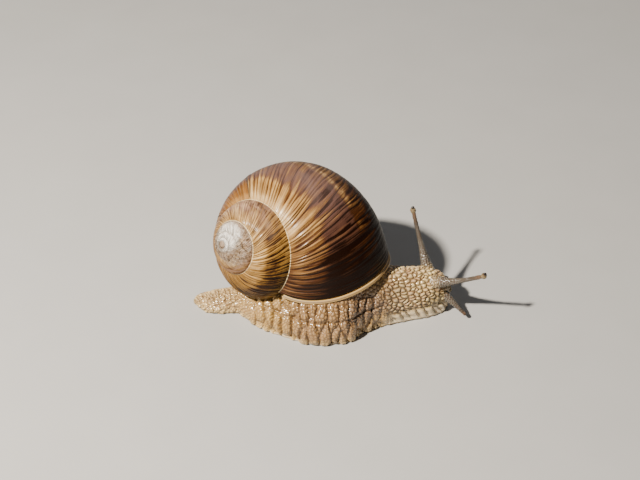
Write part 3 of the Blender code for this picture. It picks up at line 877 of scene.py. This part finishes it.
# bodyMap on a feeler: distance along it, distance round it, and how far along it a point is as a share
def buildFeeler(kind, side):
    form = feelers[kind]
    ends, bow = form[side], form["bow"]
    length = np.linalg.norm(np.array(ends[1]) - np.array(ends[0]))
    start, level = mapPlace[kind]
    rings, rows = [], []
    for share in np.linspace(-feelers["rootDepth"], form["end"], feelers["rings"]):
        here = feelerPoint(ends, bow, share)
        line = feelerPoint(ends, bow, share + 0.01) - feelerPoint(ends, bow, share - 0.01)
        turned = np.array(Vector(line).to_track_quat("Z", "Y").to_matrix())
        radius = np.interp(share, np.linspace(0, 1, len(form["radii"])), form["radii"])
        radius = radius * math.sqrt(max(0.08, min(1.0, (form["end"] - share) / 0.05 + 0.08)))
        turns = np.arange(feelers["sides"]) * twoPi / feelers["sides"]
        spokes = np.stack([np.cos(turns), np.sin(turns), np.zeros(len(turns))], axis=1) * radius
        rings.append(here + spokes @ turned.T)
        rows.append([(start + share * length, (turn - math.pi) * 0.9, level + share) for turn in turns])
    return tube(f"{kind}_{side}", rings, rows)


def ball(name, centre, radius):
    bm = bmesh.new()
    bmesh.ops.create_uvsphere(bm, u_segments=24, v_segments=16, radius=radius)
    bmesh.ops.translate(bm, vec=Vector(centre), verts=bm.verts)
    return pour(name, bm)


# gives a ball a bodyMap of its own: height and angle on it, from a start that tells what it is
def mapBall(obj, start, rise):
    points = np.array([vertex.co for vertex in obj.data.vertices])
    local = points - points.mean(axis=0)
    girth = np.arctan2(local[:, 1], local[:, 0]) * 1.2
    rows = np.stack([start + local[:, 2], girth, np.full(len(local), rise)], axis=1)
    addAttribute(obj.data, "bodyMap", rows)
    return obj


# a soft lobe beside the mouth; its bodyMap follows on from the head's
def buildLobe(side):
    bm = bmesh.new()
    bmesh.ops.create_uvsphere(bm, u_segments=24, v_segments=18, radius=1.0)
    bmesh.ops.scale(bm, vec=Vector(lobes["size"]), verts=bm.verts)
    bmesh.ops.rotate(bm, matrix=Matrix.Rotation(math.radians(lobes["turn"]), 3, "Z"), verts=bm.verts)
    bmesh.ops.translate(bm, vec=Vector(lobes["places"][side]), verts=bm.verts)
    return mapBall(pour(f"lobe_{side}", bm), *mapPlace["lobe"])


def boxMiddle(node):
    low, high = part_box(node)
    return np.array((low + high) / 2) / mm


# a rounded bump over each cell, and the dark groove round it, from the distance to the cell's border
def pillow(tree, distance, width, groove):
    share = smaller(distance / width, 1.0)
    return share * (2 - share), tree.fall(distance, 0.0, groove)


# a rounder bump, highest over the cell's middle, with the groove and the cell's own random value
def pebble(tree, place, width, groove):
    border = tree.cells(place, 0.85)
    away, tone = tree.cellMiddle(place, 0.85)
    crown = 1 - smaller(away * away * 1.5, 1.0)
    bump = tree.soft(border, -0.04, width) * (0.30 + 0.70 * crown)
    corner = tree.soft(away, 0.40, 0.88)
    return bump, larger(tree.fall(border, 0.0, groove), corner * 0.6), tone


# how deep the skin's relief is, in mm
skinForm = {
    "knobs": 0.18,
    "neckKnobs": 0.24,  # more on the neck, and on the tail
    "tailKnobs": 0.18,
    "columns": 0.60,
    "hem": 0.50,  # more by the sole's edge, and towards the rear
    "rear": 0.25,
    "creases": 0.45,
    "plates": 0.36,
    "beads": 0.22,
    "flankFold": 0.36,
    "foreFold": 0.34,
}


# relief of the skin in mm from its bodyMap and its distance ahead of the foot's middle, and the masks that
# colour it; the same nodes serve the shape and the material
def skinRelief(tree, place, ahead):
    soft, fall, hump, form = tree.soft, tree.fall, tree.hump, skinForm
    along, girth, rise = tree.separate(place)
    wander = tree.cloud(along * 0.5, girth * 0.5, 1.0, detail=2.0) - 0.5
    wanderSide = tree.cloud(along * 0.5, girth * 0.5, 8.0, detail=2.0) - 0.5
    a = along + wander * 0.9
    g = girth + wanderSide * 0.9
    onFeeler = soft(along, 90.0, 91.0)
    flesh = 1 - onFeeler
    above = soft(rise, -0.5, 0.3)
    fore = soft(ahead, 14.5, 18.5) * flesh
    fringe = fore * fall(rise + wander * 1.2, 3.0, 3.7) * above
    muzzle = soft(ahead + wander * 2.0, 27.0, 28.6) * fall(rise, 5.0, 6.5) * (1 - fringe) * flesh
    neck = soft(ahead, 13.0, 18.0) * soft(rise, 2.9, 4.4) * flesh

    largeAt = tree.combine(a * 0.70 + g * 0.30, g * 1.00 - a * 0.23, 0.0)
    smallAt = tree.combine(a * 1.12 + g * 0.17, g * 1.22 - a * 0.12, 0.0)
    tail = fall(ahead, -22.0, -14.0)
    large, largeGroove, largeTone = pebble(tree, largeAt, 0.30, 0.17)
    small, smallGroove, smallTone = pebble(tree, smallAt, 0.26, 0.16)
    knob = largeTone * neck + smallTone * (1 - neck)
    bumps = large * neck + small * (1 - neck)
    edge = fall(rise + wander * 1.5, 3.0, 6.0) * (1 - neck)
    bumpGroove = largeGroove * neck + smallGroove * (1 - neck) * (0.60 + 0.35 * tail)
    bumpGroove = bumpGroove * flesh * above * (1 - 0.9 * fringe) * (1 - 0.30 * edge) * (1 - 0.7 * muzzle)
    bumpDeep = form["knobs"] + form["neckKnobs"] * neck + form["tailKnobs"] * tail
    bumpDeep = bumpDeep * (1 - 0.85 * fringe) * (1 - 0.7 * muzzle) * (1 - 0.4 * edge) * above * flesh

    side = soft(ahead, -19.0, -14.0) * (1 - neck) * above * fall(rise, 9.0, 12.0) * flesh
    columnAt = tree.combine(along * 0.40 + wander * 0.45, rise * 0.13 + along * 0.03, 0.0)
    lobeAt = tree.combine(along * 0.46 + rise * 0.34 + wander * 0.45, rise * 0.06, 4.0)
    column, columnGroove = pillow(tree, tree.cells(columnAt, 0.65), 0.34, 0.100)
    lobe, lobeGroove = pillow(tree, tree.cells(lobeAt, 0.80), 0.40, 0.12)
    notched = soft(rise, 0.5, 1.9)
    lobe, lobeGroove = 1 - (1 - lobe) * (0.25 + 0.75 * notched), lobeGroove * notched
    column = column * (1 - fore) + lobe * fore
    columnGroove = columnGroove * (1 - fore) + lobeGroove * fore
    lobed = side * (1 - fore * (1 - fringe))
    columnDeep = form["columns"] + form["hem"] * fall(rise, 0.3, 2.8) + form["rear"] * fall(ahead, -10.0, 0.0)
    columnDeep = columnDeep * lobed
    facing = tree.combine(along * 0.75 + rise * 0.2, rise * 0.10, 6.0)
    crease, creaseGroove = pillow(tree, tree.cells(facing, 0.8), 0.40, 0.12)
    creaseDeep = form["creases"] * muzzle

    tailAt = tree.combine(a * 0.46 + g * 0.20, g * 0.52 - a * 0.20, 3.0)
    plate, plateGroove = pillow(tree, tree.cells(tailAt, 0.9), 0.36, 0.10)
    plateDeep = form["plates"] * tail * above * flesh

    flankFold = hump(rise + wander * 1.2, 6.6, 0.7) * (1 - fore) * side
    foreFold = hump(rise + wander * 1.2, 3.7, 1.1) * fore
    grainAt = tree.combine(along * 1.9, girth * 1.9, 0.0)
    grains, grainGroove, _ = pebble(tree, grainAt, 0.28, 0.22)
    grainDeep = form["beads"] * onFeeler

    relief = bumps * bumpDeep + column * columnDeep + crease * creaseDeep + grains * grainDeep
    relief = relief + plate * plateDeep - flankFold * form["flankFold"] - foreFold * form["foreFold"]
    grooves = larger(larger(bumpGroove, columnGroove * lobed * 0.9), grainGroove * onFeeler * 0.8)
    grooves = larger(grooves, plateGroove * tail * above * flesh * 0.6)
    grooves = larger(grooves, larger(larger(flankFold * 0.50, foreFold * 0.5), creaseGroove * muzzle * 0.7))
    dome = (bumps * (1 - fringe) + fringe) * flesh + grains * onFeeler
    masks = SimpleNamespace(grooves=grooves, neck=neck, fringe=fringe, onFeeler=onFeeler, knob=knob)
    masks.fore, masks.dome, masks.tail, masks.above, masks.muzzle = fore, dome, tail, above, muzzle
    masks.along, masks.girth, masks.rise, masks.wander = along, girth, rise, wander
    return relief - bumpDeep - columnDeep - creaseDeep - grainDeep - plateDeep, masks


def skinTree(material):
    inputs = {"Skin": "NodeSocketGeometry", "Guide": "NodeSocketObject", "Relief": 1.0}
    tree, wires = newShapeTree("knobblySkin", inputs)
    relative = {"transform_space": "RELATIVE"}
    guide = tree.node("GeometryNodeObjectInfo", relative, {0: wires["Guide"]}, "Geometry")
    own = tree.node("GeometryNodeInputNamedAttribute", {"data_type": "FLOAT_VECTOR"}, {"Name": "bodyMap"})
    sampled = tree.node("GeometryNodeSampleNearestSurface", {"data_type": "FLOAT_VECTOR"},
                        {"Mesh": guide, "Value": own})
    stored = tree.node("GeometryNodeStoreNamedAttribute", {"data_type": "FLOAT_VECTOR", "domain": "POINT"},
                       {"Geometry": wires["Skin"], "Name": "bodyMap", "Value": sampled})
    place = tree.node("GeometryNodeInputPosition")
    relief, _ = skinRelief(tree, own, tree.separate(place)[0])
    normal = tree.node("GeometryNodeInputNormal")
    scaled = {0: normal, "Scale": relief * wires["Relief"]}
    offset = tree.node("ShaderNodeVectorMath", {"operation": "SCALE"}, scaled)
    moved = tree.node("GeometryNodeSetPosition", {}, {"Geometry": stored, "Offset": offset})
    smooth = tree.node("GeometryNodeSetShadeSmooth", {}, {"Geometry": moved})
    endShapeTree(tree, [smooth], material)
    return tree


skinLook = {
    "pale": (0.74, 0.525, 0.250),
    "warm": (0.76, 0.555, 0.250),
    "rim": (0.66, 0.48, 0.20),
    "crestHighlight": (0.86, 0.68, 0.42),
    "tan": (0.53, 0.320, 0.088),
    "dull": (0.28, 0.152, 0.056),
    # the colour of the painted shade under the shell
    "shadowMauve": (0.125, 0.070, 0.046),
    "rosy": (0.54, 0.315, 0.140),
    "olive": (0.29, 0.210, 0.062),
    "chin": (0.105, 0.075, 0.024),
    "groove": (0.085, 0.038, 0.014),
    "fringe": (0.66, 0.54, 0.36),
    "muzzle": (0.40, 0.29, 0.10),
    "feeler": (0.078, 0.070, 0.056),
    "bead": (0.34, 0.305, 0.235),
    "bulb": (0.36, 0.27, 0.13),
    "feelerTip": (0.26, 0.13, 0.06),
    "collar": (0.16, 0.10, 0.060),
    "sole": (0.46, 0.39, 0.30),
}


def skinMaterial():
    uniform = {
        "Coat Roughness": 0.12, "Subsurface Weight": 0.08, "Subsurface Scale": 0.0006,
        "Subsurface Radius": (1.0, 0.5, 0.25), "IOR": 1.4,
    }
    material, tree, shader = newMaterial("wetSkin", uniform)
    soft, fall, hump = tree.soft, tree.fall, tree.hump
    place = tree.stored("bodyMap")
    spot = tree.spot()
    ahead = tree.separate(spot)[0] * 1000
    relief, masks = skinRelief(tree, place, ahead)
    along, rise, wander = masks.along, masks.rise, masks.wander
    onFeeler, above = masks.onFeeler, masks.above
    spots = tree.cloud(along * 0.8, masks.girth * 0.8, 3.0, detail=3.0)
    flank = soft(ahead, -27.0, -16.0) * fall(ahead, 14.0, 20.0)
    paint = Paint(tree, skinLook, skinLook["pale"])
    paint.lay(soft(ahead, 8.0, 18.0), "warm")
    paint.lay(flank, "tan")
    middle = soft(ahead, -12.0, -4.0) * fall(ahead, 8.0, 16.0)
    paint.lay(middle * 0.9, "dull")
    clouds = tree.cloud(along * 0.22, masks.girth * 0.3, 5.0, detail=3.0)
    paint.lay(soft(spots * 0.6 + masks.knob * 0.4, 0.35, 0.75) * 0.5, "dull")
    paint.lay(soft(masks.knob * 0.5 + clouds * 0.5, 0.40, 0.75) * masks.neck * 0.75, "rosy")
    paint.lay(soft(clouds, 0.45, 0.70) * (0.30 + 0.10 * masks.tail), "dull")
    paint.lay(soft(spots, 0.42, 0.62) * masks.tail * 0.35, "dull")
    # painted shadow of the shell on the skin below and ahead of the lip, in a dull mauve
    shade = soft(ahead, 2.0, 12.0) * fall(ahead + wander * 6, 14.0, 27.0) * soft(rise + wander * 2, 3.2, 5.5)
    shade = shade * fall(rise - (ahead - 9.0) * 0.3, 6.5, 12.0)
    paint.lay(shade * (0.60 + 0.5 * (spots - 0.3)), "shadowMauve")
    # painted shade right under the front of the lip
    under = hump(ahead, 10.5, 9.0) * soft(rise + wander * 2, 5.5, 9.0)
    paint.lay(under * 0.45, "shadowMauve")
    # painted shade along the fold above the fringe
    creaseShade = soft(rise + wander * 1.2, 2.3, 3.5) * fall(rise + ahead * 0.22 + wander * 2, 7.0, 10.5)
    creaseShade = creaseShade * masks.fore
    paint.lay(creaseShade * 0.62, "shadowMauve")
    # an olive tint low on the face: partly the skin's own colour, partly painted shade under the feelers
    olive = soft(ahead + wander * 3, 21.0, 28.0) * fall(rise, 4.5, 9.0) * (1 - masks.fringe)
    paint.lay(olive * 0.80, "olive")
    # darker still low on the face under the feelers: painted shade
    chin = soft(ahead + wander * 2, 25.5, 28.5) * fall(rise + wander, 5.5, 8.0) * soft(rise, 3.0, 4.0)
    paint.lay(chin * 0.55, "chin")
    paint.lay(fall(rise + wander, 0.8, 2.6) * 0.5, "rim")
    # the muzzle's own yellow tint, made darker as painted shade under the feelers
    paint.lay(masks.muzzle * 0.8, "muzzle")
    paint.lay(masks.fringe * (1 - 0.5 * soft(rise + wander, 1.7, 3.3)) * 0.95, "fringe")
    paint.lay(1 - above, "sole")
    root = fall(rise + wander * 0.2, 49.98, 50.16)
    paint.lay(onFeeler * (1 - 0.65 * root), "feeler")
    # paler tops on the feelers' granules: painted glints
    beads = soft(masks.dome, 0.55, 0.95) * fall(rise, 50.45, 50.8) * onFeeler
    paint.lay(beads * 0.38, "bead")
    tip = soft(rise, 50.75, 50.95) * onFeeler
    paint.lay(tip * 0.6, "feelerTip")
    paint.lay(soft(rise, 50.975, 50.99) * fall(rise, 53.0, 54.0) * 0.8, "bulb")
    # the mantle collar inside the lip: partly its own dark colour, partly painted shade under the lip
    paint.lay(soft(rise, 55.0, 56.0), "collar")
    # darker towards each knob's foot and round each granule: painted shade that rounds them
    low = fall(masks.dome, 0.10, 0.85) * (0.26 + 0.12 * masks.neck + 0.24 * onFeeler)
    paint.lay(low * above, "groove")
    # paler tops on the knobs: painted highlight
    crestHighlight = soft(masks.dome, 0.62, 1.0) * (1 - onFeeler) * above
    paint.lay(crestHighlight * (0.10 + 0.14 * masks.neck), "crestHighlight")
    paint.lay(masks.grooves * (0.60 - 0.14 * masks.fringe - 0.08 * masks.neck), "groove")
    grain = tree.noise(spot, scale=2600.0, detail=3.0)
    bumpHeight = grain * 0.09 + relief * 0.5
    bump = tree.bump(bumpHeight, mm)
    wet = (1.0 - 0.3 * spots) * (1 - 0.25 * onFeeler)
    rough = 0.42 + wander * 0.2
    feed(tree, shader, {"Base Color": paint.colour, "Roughness": rough, "Coat Weight": wet, "Normal": bump})
    return material


# the unfolding is made on the smooth shape, where it comes apart into few pieces
def unfold(obj):
    obj.data.uv_layers.new(name="OFBake")
    bpy.context.view_layer.objects.active = obj
    obj.select_set(True)
    bpy.ops.object.mode_set(mode="EDIT")
    bpy.ops.mesh.select_all(action="SELECT")
    bpy.ops.uv.smart_project(angle_limit=math.radians(66.0), island_margin=0.002)
    bpy.ops.object.mode_set(mode="OBJECT")
    obj.select_set(False)


def buildSkin():
    parts = [buildTrunk(), buildCollar()]
    for kind in ("upper", "lower"):
        for side in ("right", "left"):
            parts.append(buildFeeler(kind, side))
    for side in ("right", "left"):
        bulb = ball(f"bulb_{side}", boxMiddle(f"upper_feeler_{side}_bulb"), feelers["bulb"])
        parts.append(mapBall(bulb, *mapPlace["bulb"]))
        parts.append(buildLobe(side))
    guide = join("skinGuide", parts)
    obj = newObject("skin", guide.data.copy())
    remesh = obj.modifiers.new("remesh", "REMESH")
    remesh.mode, remesh.voxel_size = "VOXEL", body["voxel"]
    smooth = obj.modifiers.new("smooth", "SMOOTH")
    smooth.factor, smooth.iterations = 0.5, body["smoothing"]
    settle(obj)
    unfold(obj)
    material = skinMaterial()
    tree = skinTree(material)
    runShapeTree(obj, tree, {"Guide": guide, "Relief": 1.0})
    bpy.data.objects.remove(guide)
    return obj


fleshNodes = ["mantle_collar", "head", "neck", "trunk", "tail", "foot_front", "foot_middle", "foot_rear"]
for side in ("right", "left"):
    fleshNodes += [f"upper_feeler_{side}_{part}" for part in ("lower", "upper", "bulb")]
    fleshNodes += [f"lower_feeler_{side}_{part}" for part in ("base", "tip")]
    fleshNodes.append(f"mouth_lobe_{side}")
skinPiece = finishPiece(buildSkin(), "flesh", *fleshNodes)
print("skin made:", len(skinPiece.data.polygons), "faces")


def eyeMaterial():
    uniform = {"Roughness": 0.12, "Coat Weight": 0.6, "Coat Roughness": 0.05}
    material, tree, shader = newMaterial("eyeBlack", uniform)
    facing = tree.noise(tree.spot(), scale=4000.0, detail=2.0)
    feed(tree, shader, {"Base Color": tree.blend(facing, (0.006, 0.005, 0.005), (0.022, 0.014, 0.010))})
    return material


eyeFinish = eyeMaterial()
for side in ("left", "right"):
    low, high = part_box(f"eye_{side}")
    eye = ball(f"eye_{side}_round", boxMiddle(f"eye_{side}"), (high - low).x / mm / 2)
    eye.data.materials.append(eyeFinish)
    eye.data.shade_smooth()
    finishPiece(eye, "eye", f"eye_{side}")
print("eyes set")

view = {"place": (0.0, -0.3447, 0.2719), "pitch": 54.0, "lens": 99.7}
light = {
    "key": 7.2,  # watts
    "keyPlace": (-0.26, -0.19, 0.37),
    "keySize": 0.03,
    "warmth": (1.0, 0.93, 0.82),
    "soft": 0.3,
    "softPlace": (0.10, 0.35, 0.40),
    "softSize": 0.35,
    "aim": (0.0, 0.0, 0.012),
    "sky": 0.08,
}


def aimed(name, place, power, size):
    data = bpy.data.lights.new(name, "AREA")
    data.shape, data.energy, data.size = "DISK", power, size
    obj = bpy.data.objects.new(name, data)
    bpy.context.scene.collection.objects.link(obj)
    obj.location = place
    obj.rotation_euler = (Vector(light["aim"]) - Vector(place)).to_track_quat("-Z", "Y").to_euler()
    return obj


def buildStudio():
    bm = bmesh.new()
    bmesh.ops.create_grid(bm, x_segments=1, y_segments=1, size=3.0)
    floor = pour("studioFloor", bm)
    material, tree, shader = newMaterial("paleFloor", {"Roughness": 0.85})
    dust = tree.noise(tree.spot(), scale=60.0, detail=4.0)
    feed(tree, shader, {"Base Color": tree.blend(dust, (0.42, 0.41, 0.395), (0.46, 0.45, 0.435))})
    floor.data.materials.append(material)
    aimed("keyLight", light["keyPlace"], light["key"], light["keySize"]).data.color = light["warmth"]
    aimed("softLight", light["softPlace"], light["soft"], light["softSize"])
    world = bpy.data.worlds.new("studioSky")
    world.use_nodes = True
    sky = world.node_tree.nodes["Background"]
    sky.inputs[0].default_value = (0.95, 0.96, 1.0, 1.0)
    sky.inputs[1].default_value = light["sky"]
    bpy.context.scene.world = world
    camera = bpy.data.objects.new("camera", bpy.data.cameras.new("camera"))
    bpy.context.scene.collection.objects.link(camera)
    camera.location = view["place"]
    camera.rotation_euler = (math.radians(view["pitch"]), 0.0, 0.0)
    camera.data.lens = view["lens"]
    bpy.context.scene.camera = camera


buildStudio()
print("studio ready")
